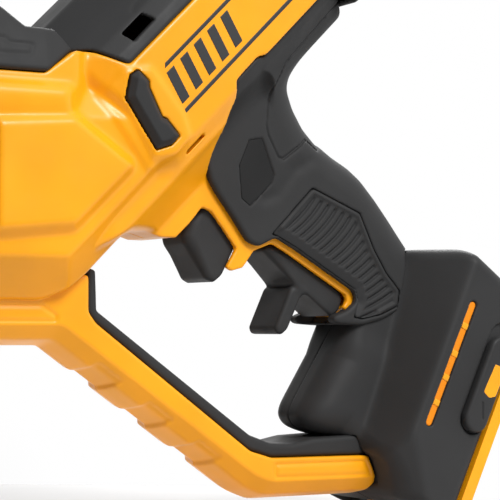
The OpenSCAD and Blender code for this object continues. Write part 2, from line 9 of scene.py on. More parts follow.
import bpy
import numpy as np
import openvdb
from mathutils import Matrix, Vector


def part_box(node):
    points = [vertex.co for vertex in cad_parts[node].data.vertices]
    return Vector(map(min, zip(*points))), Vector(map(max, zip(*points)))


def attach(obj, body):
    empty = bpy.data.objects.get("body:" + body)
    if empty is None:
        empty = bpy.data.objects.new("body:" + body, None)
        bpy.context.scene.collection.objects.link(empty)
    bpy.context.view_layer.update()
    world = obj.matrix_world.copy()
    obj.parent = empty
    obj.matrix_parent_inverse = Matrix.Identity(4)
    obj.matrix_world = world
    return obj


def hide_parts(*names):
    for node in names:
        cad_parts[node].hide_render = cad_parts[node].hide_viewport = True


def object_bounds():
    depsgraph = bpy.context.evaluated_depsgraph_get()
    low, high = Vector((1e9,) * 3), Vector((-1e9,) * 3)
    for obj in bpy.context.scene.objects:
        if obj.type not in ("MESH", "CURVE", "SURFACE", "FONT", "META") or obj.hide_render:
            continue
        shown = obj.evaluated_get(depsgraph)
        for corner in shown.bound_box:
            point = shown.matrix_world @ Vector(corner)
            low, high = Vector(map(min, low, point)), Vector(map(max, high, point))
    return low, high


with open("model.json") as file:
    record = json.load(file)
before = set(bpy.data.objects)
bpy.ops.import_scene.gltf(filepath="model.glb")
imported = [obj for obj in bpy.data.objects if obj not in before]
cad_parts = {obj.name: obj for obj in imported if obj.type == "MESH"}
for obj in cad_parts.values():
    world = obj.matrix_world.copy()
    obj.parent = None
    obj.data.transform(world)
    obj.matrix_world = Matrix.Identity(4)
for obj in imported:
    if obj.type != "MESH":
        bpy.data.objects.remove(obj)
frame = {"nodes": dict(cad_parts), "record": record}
cad_low, cad_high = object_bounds()
scene = bpy.context.scene
MM = 0.001


def centre(node):
    low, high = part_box(node)
    return (low + high) / 2


# ---- places read from the frame, in millimetres from the crank's centre --------------

CRANK = centre("crank_bearing")
CRANK.y = 0


def side_edge(node):
    """How far a node reaches to the left of the middle plane."""
    return -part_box(node)[0].y / MM


BODY = 36.0
BARREL_END = 140.0
CORE = 14.5
GRIP = side_edge("grip_pads") - 0.6
BAND = 17.0
FOOT = side_edge("foot_left")
LINER = side_edge("guard_liner")
FACE = side_edge("housing_left")
SHELL = 3.0
SCREW_BORE = 3.2
GRIP_ROUND = 14.0
BUMPER = side_edge("side_bumpers")
MOTOR_TILT = math.radians(45)
FOOT_TILT = math.radians(25)
FOOT_AT = (191.7, -89.1)


# ---- camera ---------------------------------------------------------------------------

def add_camera():
    """Looks at the grip from the tool's left and a little from the front and below."""
    aim = CRANK + Vector((95, 0, -22)) * MM
    turn, rise, away = math.radians(-30), math.radians(-2.4), 0.740
    back = Vector((math.sin(turn) * math.cos(rise), -math.cos(turn) * math.cos(rise), math.sin(rise)))
    data = bpy.data.cameras.new("camera")
    data.lens, data.sensor_width = 133.2, 36
    data.clip_start, data.clip_end = 0.05, 20
    camera = bpy.data.objects.new("camera", data)
    scene.collection.objects.link(camera)
    camera.rotation_mode = "QUATERNION"
    camera.location = aim + back * away
    camera.rotation_quaternion = (-back).to_track_quat("-Z", "Y")
    scene.camera = camera


add_camera()


# ---- distance fields ------------------------------------------------------------------

class Block:
    """Sample points of a box, step apart, with the motor's and the foot's own axes."""

    def __init__(self, low, high, step):
        self.low, self.step = np.array(low, float), step
        ticks = [np.arange(a, b + step, step, dtype=np.float32) for a, b in zip(low, high)]
        self.x, self.y, self.z = np.meshgrid(*ticks, indexing="ij", sparse=True)
        self.size = np.broadcast(self.x, self.y, self.z).shape
        self.side = np.abs(self.y)
        self.a = self.x * math.cos(MOTOR_TILT) + self.z * math.sin(MOTOR_TILT)
        self.c = self.z * math.cos(MOTOR_TILT) - self.x * math.sin(MOTOR_TILT)
        dx, dz = self.x - FOOT_AT[0], self.z - FOOT_AT[1]
        self.u = dx * math.cos(FOOT_TILT) - dz * math.sin(FOOT_TILT)
        self.v = dx * math.sin(FOOT_TILT) + dz * math.cos(FOOT_TILT)

    def shape(self, points, ease=0.0):
        """Distance to a closed outline in the side view, its corners rounded by ease."""
        return soften(outline(self.x, self.z, points), ease / self.step)

    def shape_motor(self, points, ease=0.0):
        return soften(outline(self.a, self.c, points), ease / self.step)

    def shape_foot(self, points, ease=0.0):
        return soften(outline(self.u, self.v, points), ease / self.step)

    def thick(self, half_width, ease=0.0):
        """Distance to the solid whose half width at each place of the side view is given."""
        flat = soften(np.broadcast_to(half_width, (self.x.size, 1, self.z.size)), ease / self.step)
        gx, gz = np.gradient(flat[:, 0, :], self.step)
        return (self.side - flat) / np.sqrt(1 + gx ** 2 + gz ** 2)[:, None, :]


def outline(x, z, points):
    """Signed distance to a closed outline, negative inside."""
    points = np.array(points, np.float32)
    shape = np.broadcast(x, z).shape
    nearest = np.full(shape, 1e9, np.float32)
    inside = np.zeros(shape, bool)
    for (px, pz), (qx, qz) in zip(points, np.roll(points, -1, axis=0)):
        ex, ez = qx - px, qz - pz
        t = np.clip(((x - px) * ex + (z - pz) * ez) / (ex * ex + ez * ez), 0, 1)
        nearest = np.minimum(nearest, (x - px - t * ex) ** 2 + (z - pz - t * ez) ** 2)
        if ez:
            inside ^= ((pz > z) != (qz > z)) & (x < px + (z - pz) * ex / ez)
    return np.where(inside, -1, 1) * np.sqrt(nearest)


def to_line(x, z, points):
    """Distance to an open line of points in the side view."""
    nearest = np.full(np.broadcast(x, z).shape, 1e9, np.float32)
    for (px, pz), (qx, qz) in zip(points, points[1:]):
        ex, ez = qx - px, qz - pz
        t = np.clip(((x - px) * ex + (z - pz) * ez) / (ex * ex + ez * ez), 0, 1)
        nearest = np.minimum(nearest, (x - px - t * ex) ** 2 + (z - pz - t * ez) ** 2)
    return np.sqrt(nearest)


def soften(flat, sigma):
    """Rounds the creases of a side view field, and leaves its flat stretches as they are."""
    if sigma <= 0:
        return flat
    reach = max(1, math.ceil(2.5 * sigma))
    weights = np.exp(-0.5 * (np.arange(-reach, reach + 1) / sigma) ** 2)
    weights /= weights.sum()
    for axis in (0, 2):
        pad = [(0, 0)] * 3
        pad[axis] = (reach, reach)
        padded = np.pad(flat, pad, mode="edge")
        size = flat.shape[axis]
        flat = sum(w * np.take(padded, range(i, i + size), axis=axis) for i, w in enumerate(weights))
    return flat.astype(np.float32)


def meet(a, b, r):
    """Where two solids overlap, with an edge of radius r."""
    return np.minimum(-r, np.maximum(a, b)) + np.hypot(np.maximum(a + r, 0), np.maximum(b + r, 0))


def join(a, b, r):
    """Two solids together, with a fillet of radius r."""
    return np.maximum(r, np.minimum(a, b)) - np.hypot(np.maximum(r - a, 0), np.maximum(r - b, 0))


def cut(a, b, r=0.0):
    """The first solid less the second."""
    return meet(a, -b, r) if r else np.maximum(a, -b)


def bevel(a, b, r):
    """Where two solids overlap, with a flat chamfer."""
    return np.maximum(np.maximum(a, b), (a + b + r) * math.sqrt(0.5))


def overlap(*fields):
    """Where all of several solids are, with sharp edges."""
    return np.maximum.reduce(np.broadcast_arrays(*fields))


def least(*fields):
    """The smallest of several fields: all the solids together, or the least of several widths."""
    return np.minimum.reduce(np.broadcast_arrays(*fields))


def box_of(values_low_high):
    """Distance to a box from (value, low, high) for each axis."""
    return overlap(*[np.maximum(low - value, value - high) for value, low, high in values_low_high])


def groove(width, depth, distance):
    """A rounded groove's depth at each place, for a half width field."""
    return depth * np.exp(-(distance / width) ** 2)


def fade(distance, width):
    """1 inside a shape and 0 outside it, with a soft border."""
    return 1 / (1 + np.exp(np.clip(distance / width, -30, 30)))


def surface(block, distance, name):
    """Meshes a distance field and returns its object in the row frame."""
    grid = openvdb.FloatGrid(3.0)
    distance = np.broadcast_to(distance, block.size)
    values = np.clip(distance / block.step, -3, 3)
    grid.copyFromArray(np.ascontiguousarray(values, dtype=np.float32))
    points, quads = grid.convertToQuads(isovalue=0.0)
    points = (block.low + points.astype(float) * block.step) * MM + np.array(CRANK)
    mesh = bpy.data.meshes.new(name)
    mesh.from_pydata(points.tolist(), [], quads[:, ::-1].tolist())
    mesh.validate()
    mesh.shade_smooth()
    piece = bpy.data.objects.new(name, mesh)
    scene.collection.objects.link(piece)
    return piece


def mirror(mesh):
    """Turns a left hand mesh into its right hand twin."""
    co = np.empty(len(mesh.vertices) * 3, np.float32)
    mesh.vertices.foreach_get("co", co)
    co[1::3] *= -1
    mesh.vertices.foreach_set("co", co)
    mesh.flip_normals()


def twin(piece, name):
    """The mirrored copy of a left hand piece."""
    mesh = piece.data.copy()
    mirror(mesh)
    mesh.name = name
    other = bpy.data.objects.new(name, mesh)
    scene.collection.objects.link(other)
    return other


# ---- materials ------------------------------------------------------------------------

class Shader:
    """A material's nodes, with short calls for the ones used here."""

    def __init__(self, name, colour, roughness, metallic=0.0, coat=0.0, specular=0.5):
        self.material = bpy.data.materials.new(name)
        self.material.use_nodes = True
        self.tree = self.material.node_tree
        self.base = self.tree.nodes["Principled BSDF"]
        self.base.inputs["Base Color"].default_value = (*colour, 1)
        self.base.inputs["Roughness"].default_value = roughness
        self.base.inputs["Metallic"].default_value = metallic
        self.base.inputs["Coat Weight"].default_value = coat
        self.base.inputs["Coat Roughness"].default_value = 0.25
        self.base.inputs["Specular IOR Level"].default_value = specular
        self.place = self.node("ShaderNodeTexCoord").outputs["Object"]
        self.normal = None

    def node(self, kind, **settings):
        made = self.tree.nodes.new(kind)
        for key, value in settings.items():
            setattr(made, key, value)
        return made

    def link(self, source, target):
        self.tree.links.new(source, target)

    def noise(self, scale, detail=3.0, stretch=(1, 1, 1)):
        mapping = self.node("ShaderNodeMapping")
        mapping.inputs["Scale"].default_value = stretch
        self.link(self.place, mapping.inputs["Vector"])
        made = self.node("ShaderNodeTexNoise")
        made.inputs["Scale"].default_value = scale
        made.inputs["Detail"].default_value = detail
        self.link(mapping.outputs["Vector"], made.inputs["Vector"])
        return made.outputs["Fac"]

    def spread(self, value, low, high):
        made = self.node("ShaderNodeMapRange")
        made.inputs["From Min"].default_value = 0.3
        made.inputs["From Max"].default_value = 0.7
        made.inputs["To Min"].default_value = low
        made.inputs["To Max"].default_value = high
        self.link(value, made.inputs["Value"])
        return made.outputs["Result"]

    def roughen(self, value, low, high):
        self.link(self.spread(value, low, high), self.base.inputs["Roughness"])

    def tint(self, value, colour_a, colour_b, low=0.35, high=0.65):
        ramp = self.node("ShaderNodeValToRGB")
        ramp.color_ramp.elements[0].position = low
        ramp.color_ramp.elements[1].position = high
        ramp.color_ramp.elements[0].color = (*colour_a, 1)
        ramp.color_ramp.elements[1].color = (*colour_b, 1)
        self.link(value, ramp.inputs["Fac"])
        self.link(ramp.outputs["Color"], self.base.inputs["Base Color"])

    def bump(self, height, depth_mm, strength=1.0):
        made = self.node("ShaderNodeBump")
        made.inputs["Distance"].default_value = depth_mm * MM
        made.inputs["Strength"].default_value = strength
        self.link(height, made.inputs["Height"])
        if self.normal is not None:
            self.link(self.normal, made.inputs["Normal"])
        self.normal = made.outputs["Normal"]
        self.link(self.normal, self.base.inputs["Normal"])


def shade(colour, factor):
    """The colour, lighter or darker."""
    return tuple(min(1.0, c * factor) for c in colour)


def moulded(name, colour, roughness, grain, grain_depth, coat=0.0, specular=0.5):
    """Moulded plastic or rubber: spark eroded grain, faint flow mottling and handling gloss."""
    made = Shader(name, colour, roughness, coat=coat, specular=specular)
    made.tint(made.noise(35, 2), shade(colour, 0.95), shade(colour, 1.05))
    made.roughen(made.noise(90, 4), roughness - 0.05, roughness + 0.05)
    made.bump(made.noise(grain, 2), grain_depth)
    return made.material


def metal(name, colour, roughness, stretch=(1, 1, 1), scale=900, depth=0.01):
    """Machined or plated metal, with tool marks along one axis."""
    made = Shader(name, colour, roughness, metallic=1.0)
    marks = made.noise(scale, 3, stretch)
    made.roughen(marks, roughness - 0.07, roughness + 0.09)
    made.tint(made.noise(60, 3), shade(colour, 0.9), shade(colour, 1.06))
    made.bump(marks, depth)
    return made.material


YELLOW = (0.95, 0.375, 0.004)
BLACK = (0.034, 0.034, 0.0345)
MATERIALS = {
    "yellow": moulded("yellow_plastic", YELLOW, 0.34, 2600, 0.012, coat=0.05, specular=0.4),
    "black_plastic": moulded("black_plastic", BLACK, 0.5, 2400, 0.03, specular=0.16),
    "rubber": moulded("grip_rubber", shade(BLACK, 0.95), 0.6, 2200, 0.035, specular=0.16),
    "boot_rubber": moulded("boot_rubber", BLACK, 0.64, 1800, 0.04, specular=0.16),
    "dark_inlay": moulded("dark_inlay", shade(BLACK, 0.6), 0.66, 3000, 0.03, specular=0.12),
    "steel": metal("machined_steel", (0.55, 0.55, 0.56), 0.3, (1, 12, 12)),
    "dark_steel": metal("black_oxide", (0.06, 0.06, 0.065), 0.4),
    "plated_steel": metal("zinc_plate", (0.62, 0.62, 0.63), 0.34, scale=500),
    "blade_steel": metal("ground_steel", (0.62, 0.63, 0.65), 0.26, (60, 1, 2), 500),
    "aluminium": metal("cast_aluminium", (0.66, 0.67, 0.68), 0.45, scale=1400, depth=0.04),
    "bronze": metal("sintered_bronze", (0.5, 0.3, 0.12), 0.42, scale=1500, depth=0.02),
    "copper": metal("enamelled_copper", (0.66, 0.26, 0.09), 0.3, (1, 8, 8), 700, 0.05),
    "laminations": metal("laminations", (0.32, 0.32, 0.33), 0.42, (40, 1, 1), 900, 0.03),
    "circuit_board": moulded("potted_board", (0.01, 0.09, 0.035), 0.4, 900, 0.03),
    "red_plastic": moulded("switch_plastic", (0.3, 0.012, 0.01), 0.4, 1500, 0.02),
    "lens": moulded("lens", (0.85, 0.88, 0.9), 0.12, 600, 0.002, coat=0.5),
    # painted shade: a darker yellow for the recessed floor of the foot's vents, standing in for the shade
    # in the recess
    "painted_shade_yellow": moulded("vent_floor_painted_shade", (0.88, 0.26, 0.003), 0.4, 2600, 0.012, specular=0.3),
    "print": moulded("printed_grey", (0.035, 0.035, 0.036), 0.5, 2600, 0.012, specular=0.3),
}


def finish_piece(piece, finish, body, *nodes, slot=None):
    """Gives a piece its material, its body and the CAD nodes that it stands for."""
    piece.data.materials.clear()
    piece.data.materials.append(MATERIALS[finish])
    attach(piece, body)
    if nodes:
        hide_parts(*nodes)
    return piece


# ---- side view outlines ---------------------------------------------------------------

def motor_point(a, c):
    """The side view place of a point a along the motor's axis and c above it."""
    along, across = math.cos(MOTOR_TILT), math.sin(MOTOR_TILT)
    return (a * along - c * across, a * across + c * along)


UPPER = [(-30, 38.3), (-8.5, 38.3), (3.2, 47.2), (11.2, 47.7), motor_point(47.2, 13.6),
         motor_point(BARREL_END, 13.6), motor_point(BARREL_END, -33), motor_point(48, -33), (13.5, -33.2),
         (6, -38.7), (-3.5, -42.8), (-30, -42.8)]
PANEL = [(1, 21.3), (22.7, 6), (1, -15.3), (-27.5, -18), (-27.5, 19)]
RIDGE = [(30, 14), (25, -21), (39.5, -23.5), (47.5, -22), (51.5, -14), (53.5, 7.5), (44, 15)]
RIM = [(14, -24), (30, -17), (41, -16.5), (47.5, -18.5), (54, -18.6), (60, -13), (65.5, -6.5), (69.7, -8),
       (80.8, -22.2), (76.2, -29.6), (78.4, -31), (83.6, -29.6), (88.5, -23), (97, -19.8), (104.8, -24),
       (131.4, -39.9), (132, -42.2), (129.8, -45), (134.6, -49.2), (141, -46), (150, -30), (120, 10),
       (80, 45), (40, 25)]
CORE_LINE = [(95, 54), (86.5, 45.5), (80, 38.8), (77, 30.5), (71, 18.5), (69.8, 14), (71, 6.8),
             (73.4, 1.5), (81, -8.5), (86, -15.4), (97.8, -13.4), (107.5, -18.4), (136.6, -35.4),
             (139.2, -42.8), (136.8, -48.8), (162, -33), (161, -21), (151, -8.5), (138, 5), (125, 13.5),
             (111.5, 25.5), (104.4, 40.4), (104.4, 48)]
BAND_LINE = [(13, -34), (-30, -38), (-60, -37), (-64, -42), (-58, -52), (-50, -57.5), (-42, -59.8),
             (3.3, -59.9), (84.5, -117.6), (93, -121), (141.5, -121), (145.2, -115), (142, -104.4),
             (96, -104), (85.7, -100.9), (19.5, -51.3), (16.5, -47.2), (16.5, -33)]
BAND_LOW = [(-64, 80), (-64, -42), (-58, -52), (-50, -57.5), (-42, -59.8), (3.3, -59.9), (84.5, -117.6),
            (93, -121), (200, -121), (200, 80)]
LINER_LINE = [(16.8, -30.5), (20.4, -31.6), (20.9, -46.7), (86.7, -94.8), (96, -98.2), (106, -98.8),
              (115.4, -97), (138, -96), (141, -104.1), (96, -103.7), (85.9, -100.6), (19.7, -51),
              (16.8, -47)]
GRIP_FRONT = [motor_point(BARREL_END - 0.3, -21.8), motor_point(92.5, -21.8), motor_point(91.4, -19.9),
              motor_point(76.5, -20.1), (70.2, 34.2), (68.2, 28), (66.9, 21), (65.6, 15.1), (65.7, 10.8),
              (67.2, 4), (70.3, -1), (78, -10.9), (84.2, -19.6), (89.2, -21.4), (97.1, -17.6),
              (105.4, -21.8), (133.5, -38.3), (134.6, -42.3), (129.8, -46.2), (122.4, -48.9),
              (124.5, -51.4), (137, -52.2), (147, -49.8), (156, -45.5), (158, -38), (170, -30),
              (230, -30), (230, 150), (130, 150)]
GRIP_BACK = [(-60, 250), (160, 112), (129.5, 81), (128.6, 78), (126.3, 73), (124, 70.2), (115.6, 61.8),
             (112.6, 57.1), (109.6, 52.3), (108, 46.4), (108, 41.2), (110.3, 34.9), (114.8, 27.5),
             (120.3, 21.9), (127.7, 16.8), (135.5, 12.6), (141.6, 8), (148.7, 0.3), (155, -7.4),
             (160.5, -14.5), (166, -21.5), (180, -38), (215, -90), (-60, -90)]
GRIP_SEAM = [(121.5, 77), (96.4, 50.4), (93.6, 41), (92.4, 26.3), (93.2, 22.5), (97.9, 13.9), (100, 13.4),
             (111.8, 21.8), (117.5, 18)]
STRAP = GRIP_SEAM + [(140, 40), (140, 95)]
GRIP_CREASE = [(91.2, -2.7), (97.6, -0.6), (102.2, 5.1), (105.0, 9.2), (112.4, 13.1)]
HEX = [(84.4, 20.2), (90.3, 21.2), (95.8, 7), (94.6, 3.3), (85, -5.9), (81, -3), (79.9, 10)]
PAD = [(113.5, 2.2), (135.8, -7.1), (142.6, -21.6), (148.7, -31.2), (155, -38), (154.1, -44.2),
       (146.4, -47.5), (137, -49.5), (133.2, -48.8), (135.6, -42.6), (134.4, -37.8), (105.8, -21),
       (97.6, -16.9), (94.8, -16.6)]
BUMPER_LINE = [(48.2, 4.6), (46.6, 3.0), (42.8, -8.6), (43.8, -10.2), (43.4, -18.2), (38.9, -18.3),
               (33, -15.4), (37.3, 6.2), (44.3, 10.9), (47.8, 10.3)]
SHROUD = [(-66, 38.9), (-66, 50), (-52, 62), (-24, 62), (-15, 55), (6, 54.9), (6, 49.5), (3.2, 47.3),
          (-8.3, 38.6), (-30, 38.6)]
SHROUD_ROOM = [(-31, 36), (-7.5, 36), (-4, 48), (-14, 51), (-22, 56), (-50, 58), (-63, 48), (-63, 36)]
SHROUD_INSET = [(-26.9, 49.6), (-23.9, 49.9), (-22.4, 48.2), (-12.8, 47.9), (-14.3, 44.2), (-26.9, 44)]
COVER = [(47.4, 13.8), (42.2, 26), (36.2, 31.4), (36.2, 40.8), (139.7, 40.8), (139.7, 13.8)]
COVER_SLOT = [(54.5, 23), (66.2, 23.2), (67.6, 18.5), (55.2, 18.2)]
CAP = [(BARREL_END + 0.2, -35), (151, -35), (157, -27), (157, 32), (150, 40.8), (BARREL_END + 0.2, 40.8)]
TRIGGER = [(66.5, -5.5), (61.5, -11.5), (59.6, -17.5), (60.3, -20.5), (63.2, -24.5), (66.6, -30),
           (69, -34), (72.5, -35.6), (76, -32.5), (80.2, -24.5), (81.5, -22), (81.5, -10), (74, 0)]
LEVER = [(95, -22.4), (96.6, -20), (99.5, -19.8), (103.5, -22.2), (117.5, -30.7), (130.4, -38.6),
         (131.4, -41.6), (129.8, -46.1), (126.4, -48.9), (115.5, -40.3), (110.9, -37.4), (101.7, -28.6)]
LEVER_TAB = [(107.5, -37), (113.5, -38.5), (106.2, -53.6), (103.6, -55.8), (101.2, -55.4), (100.2, -53)]
FOOT_LINE = [(-5, -48), (-5, 47), (-18, 51), (-41, 56), (-57, 48.5), (-62.8, 30), (-67.8, 12),
             (-72.8, -28), (-72, -33), (-68, -35.8), (-62, -35.4), (-49, -33), (-39.5, -35.5),
             (-31.7, -43), (-30, -48)]
BOOT = [(-104, -30), (-66, -38), (-30.5, -41), (-30.5, 38.4), (-66, 38.4), (-104, 30)]


# ---- yellow housing -------------------------------------------------------------------

def cover_width(b):
    """Half width of the top of the motor barrel, a form that the housing and its cover share."""
    return least(35.9 - 0.235 * (b.c - 13.75), 35 - 0.615 * (b.c - 18), 31 - 0.933 * (b.c - 24.5),
                 24 - 1.44 * (b.c - 32))


def upper_half_width(b):
    """Half width of the gear block and the motor barrel over the side view."""
    x, z, a, c = b.x, b.z, b.a, b.c
    low = np.minimum(62 + z, 54.1 + c)
    base = least(34.4, low, 34.4 - 0.5 * (z - 23))
    above = z > 30.3
    bulge = np.sqrt(np.clip(1 - ((z - 30.3) / np.where(above, 3.9, 10.2)) ** 2, 0, 1))
    bead = np.where(above, 33.2 + 4.1 * bulge, 33.6 + 3.7 * bulge)
    roll = np.minimum(np.maximum(bead, 33.3 - 0.1 * (z - 34)), 37.2 - 0.8 * (x + 1))
    roll = soften(np.where(z > 19, roll, 0), 0.9 / b.step)
    panel = np.minimum(FACE, FACE - b.shape(PANEL))
    front = (a - 37) * 0.965 - (c - 5.3) * 0.266
    corner = (a - 30.8) * 0.56 + (c + 17.2) * 0.83
    barrel = least(
        BODY, BODY + 0.75 * (c + 22), 30 + 2.2 * (c + 30), cover_width(b),
        BODY + 0.9 * front, BODY + 0.9 * corner, BODY - 0.42 * (23 - x))
    return overlap(base, roll, panel, barrel)


def housing(b):
    """The outer form of the yellow housing."""
    ridge = np.clip(-b.shape_motor(RIDGE), 0, 1.2) * 0.9
    upper = meet(b.thick(upper_half_width(b) + ridge, 0.9), b.shape(UPPER, 1.2), 1.0)
    belly = np.clip(30 + 1.1 * (b.c + 30), CORE, 30)
    rim = meet(b.thick(belly, 1.2), b.shape(RIM, 1.3), 2.2)
    return np.minimum(join(upper, rim, 2.0), band(b))


def band(b):
    """The guard bar, with three finger notches along its lower edge."""
    depth = -b.shape(BAND_LOW, 1.5)
    along = (b.x - 3.3) * 0.815 - (b.z + 59.9) * 0.579
    notch = np.zeros_like(depth)
    for start in (17.0, 43.0, 69.0):
        run = np.abs(along - start - 6.5 - 0.35 * (depth - 2.5)) - 6.0
        notch = np.maximum(notch, fade(run, 0.2))
    notch = notch * (depth < 5.6)
    depth = depth - 1.5 * notch
    width = least(BAND, 12.2 + 0.85 * (depth - 2.5), 12.2 + 4.5 * (depth - 2.5))
    for inset in ([(-60, -45), (-2.1, -44.9), (3.3, -48.8), (3, -50.6), (-60, -50.6)],
                  [(97, -106.5), (139, -106.8), (141.5, -112), (97, -111.6)]):
        width = width - groove(0.55, 0.85, np.abs(b.shape(inset)))
    return meet(b.thick(width, 0.4), b.shape(BAND_LINE, 0.8), 1.0)


def hollow(b):
    """The room inside the housing for the gearcase, motor, switch and wires."""
    block_room = [(-31, 36), (-4.5, 36), (2.5, 43.5), (18, 42), (21.5, 39.5), motor_point(61, 10.5),
                  motor_point(61, -30.3), (11, -30), (4.5, -36), (-4.5, -39.6), (-31, -39.6)]
    core_room = [(96, 42), (90, 42), (84, 36), (81, 28), (75, 17), (75.5, 9), (85, -5.5), (90, -11.5),
                 (108, -13.5), (138, -31.5), (144, -40), (157, -31), (156.5, -22), (148, -11), (136, 1.5),
                 (122, 10.5), (108, 23.5), (101, 39)]
    trigger_room = [(57, -24), (63, -5), (70, 5), (77, 9), (90, 2), (91, -12), (86, -28), (76, -40),
                    (66, -38)]
    lever_room = [(83, -31), (88, -17), (97, -12.5), (107, -16), (134, -32), (135.5, -41), (128, -47.5),
                  (126, -54), (100, -52)]
    band_room = [(6, -44), (-40, -43), (-58, -42), (-53, -50), (-42, -54), (2, -54), (84.5, -111.6),
                 (94, -115), (137, -116), (137, -108), (95, -108), (83, -104.4), (12, -55), (11, -48)]
    width = np.minimum(upper_half_width(b) - SHELL, 33)
    block = np.maximum(b.thick(width), b.shape(block_room))
    barrel = overlap(
        45 - b.a, b.a - BARREL_END - 2, b.c - 14.5, -30.3 - b.c,
        b.side - np.minimum(33, wrap_width(b) - 4.6), b.thick(width))
    rooms = np.minimum(block, barrel)
    for points, half in ((core_room, 11.5), (trigger_room, 12.2), (lever_room, 12.2)):
        room = np.maximum(b.side - half, b.shape(points))
        rooms = np.minimum(rooms, np.maximum(room, grip_back(b) + 4.6))
    bar = np.maximum(b.side - 8.5, b.shape(band_room))
    return np.minimum(rooms, bar)


def wrap_width(b):
    """Half width of the rubber that wraps the lower side of the motor barrel."""
    return least(35.2 + 0.85 * (b.c + 21), 30.2 + 1.75 * (b.c + 26.5), 35.2)


def grip_back(b):
    """The rounded back of the grip, which its yellow core follows under the rubber."""
    return meet(b.side - GRIP, b.shape(GRIP_BACK, 1.2), GRIP_ROUND)


def grip_zone(b):
    """The side view area that the rubber takes from the housing."""
    return np.maximum(b.shape(GRIP_BACK, 1.2), b.shape(GRIP_FRONT, 1.2))


def grip_solid(b):
    """The outer form of the rubber grip, up to the end of the motor barrel."""
    width = np.full_like(b.a, GRIP)
    wrap = np.where(b.a > 60, wrap_width(b), 0).astype(np.float32)
    blend = np.clip(0.5 + (wrap - width) / 18, 0, 1)
    width = width + (wrap - width) * blend + 9 * blend * (1 - blend)
    width = width - groove(2.6, 0.8, to_line(b.x, b.z, GRIP_CREASE))
    width = width - 0.9 * fade(b.shape(STRAP), 0.5)
    solid = meet(b.thick(width, 0.5), b.shape(GRIP_BACK, 1.2), GRIP_ROUND)
    tube = np.hypot(np.maximum(b.side - 14, 0), np.maximum(-b.c - 27, 0)) - 12
    tail = meet(np.maximum(tube, 96 - b.a), b.a - BARREL_END + 0.3, 1.0)
    solid = meet(join(solid, tail, 6), b.shape(GRIP_FRONT, 1.2), 1.6)
    seam = np.maximum(to_line(b.x, b.z, GRIP_SEAM) - 0.42, -solid - 0.8)
    return cut(cut(solid, seam), np.maximum(b.shape(HEX), -solid - 0.9))


def left_half(distance, b):
    """The part of a solid on the left of the middle plane, less a thin seam."""
    return np.maximum(distance, b.y + 0.06)


# Place of each housing screw in the side view, and how far right its head is seated
SCREWS = [(-22, -51, 8.6), (40, -79.5, 8.6), (84, -110, 8.6), (118, 8, 11), (148, -22, 11)]


def build_housing():
    """Yellow housing halves; the right one has the screws' counterbores."""
    b = Block((-33, -40.5, -124), (168, 1.5, 118), 0.6)
    outer = housing(b)
    core = overlap(b.side - CORE + 0.5, b.shape(CORE_LINE), grip_back(b) + 2.3)
    barrel_core = overlap(
        b.a - BARREL_END, 60 - b.a, b.side - np.minimum(32, wrap_width(b) - 2.3), -31.4 - b.c, b.c - 10)
    rim = np.maximum(b.side - CORE, b.shape(RIM))
    inner = np.maximum(np.minimum(core, barrel_core), outer)
    outer = least(cut(outer, grip_zone(b) - 0.25), inner, rim)
    outer = np.maximum(outer, b.a - BARREL_END + 0.2)
    recess = np.maximum(b.shape_motor(BUMPER_LINE) - 0.5, BODY - 1.6 - b.side)
    slit = np.maximum(box_of([(b.a, 43, 53.4), (b.c, -26.9, -25.4)]), 30 - b.side)
    outer = cut(cut(outer, recess), slit)
    inner_bar = np.maximum(b.side - 14.5, b.shape(BAND_LINE))
    outer = np.minimum(cut(outer, foot_solid(b) - 0.3), np.maximum(inner_bar, outer))
    shell = left_half(cut(outer, hollow(b)), b)
    left = surface(b, shell, "housing_shell_left")
    for x, z, seat in SCREWS:
        shell = cut(shell, np.maximum(np.hypot(b.x - x, b.z - z) - SCREW_BORE, seat - 0.1 - b.side))
    right = surface(b, shell, "housing_shell_right")
    mirror(right.data)
    finish_piece(left, "yellow", "tool", "housing_left")
    finish_piece(right, "yellow", "tool", "housing_right")


def build_stripes():
    """Two printed stripes with plain slanted bars between them, along the motor barrel."""
    b = Block((38, -36.4, 25), (104, -35.4, 104), 0.3)
    upper = box_of([(b.a, 51, 133), (b.c, 3.2, 4.8)])
    lower = box_of([(b.a, 48, 133), (b.c, -14.4, -12.8)])
    slant = b.a - 0.25 * b.c
    bars = least(*[np.maximum(np.abs(slant - place) - 2.2, np.abs(b.c + 4.6) - 6.4)
                   for place in range(58, 91, 8)])
    grip = grip_zone(b) - 0.8
    solid = overlap(least(upper, lower, bars), b.side - BODY - 0.12, BODY - 0.3 - b.side)
    left = surface(b, cut(solid, grip), "barrel_print_left")
    right = twin(left, "barrel_print_right")
    for piece in (left, right):
        finish_piece(piece, "print", "tool", slot="black_plastic")


# ---- covers, cap, shroud and boot -----------------------------------------------------

def build_cover():
    """Black cover along the top of the motor barrel."""
    b = Block((-3, -37, 36), (91, 37, 129), 0.6)
    width = cover_width(b)
    curve = np.abs(np.hypot(b.a - 70, (b.c - 15) * 1.15) - 13.5)
    curve = np.where((b.c > 21) & (b.a > 64), curve, 9)
    crest = np.abs(b.c - 31.5)
    width = width - groove(0.5, 0.35, curve) - groove(0.5, 0.35, crest)
    solid = meet(b.thick(width, 0.5), b.shape_motor(COVER, 0.5), 0.9)
    room = overlap(b.thick(width - SHELL), 44.5 - b.a, b.c - 37.8)
    slot = np.maximum(b.shape_motor(COVER_SLOT), 26 - b.side)
    piece = surface(b, cut(cut(solid, room), slot), "top_cover_shell")
    finish_piece(piece, "black_plastic", "tool", "top_cover")


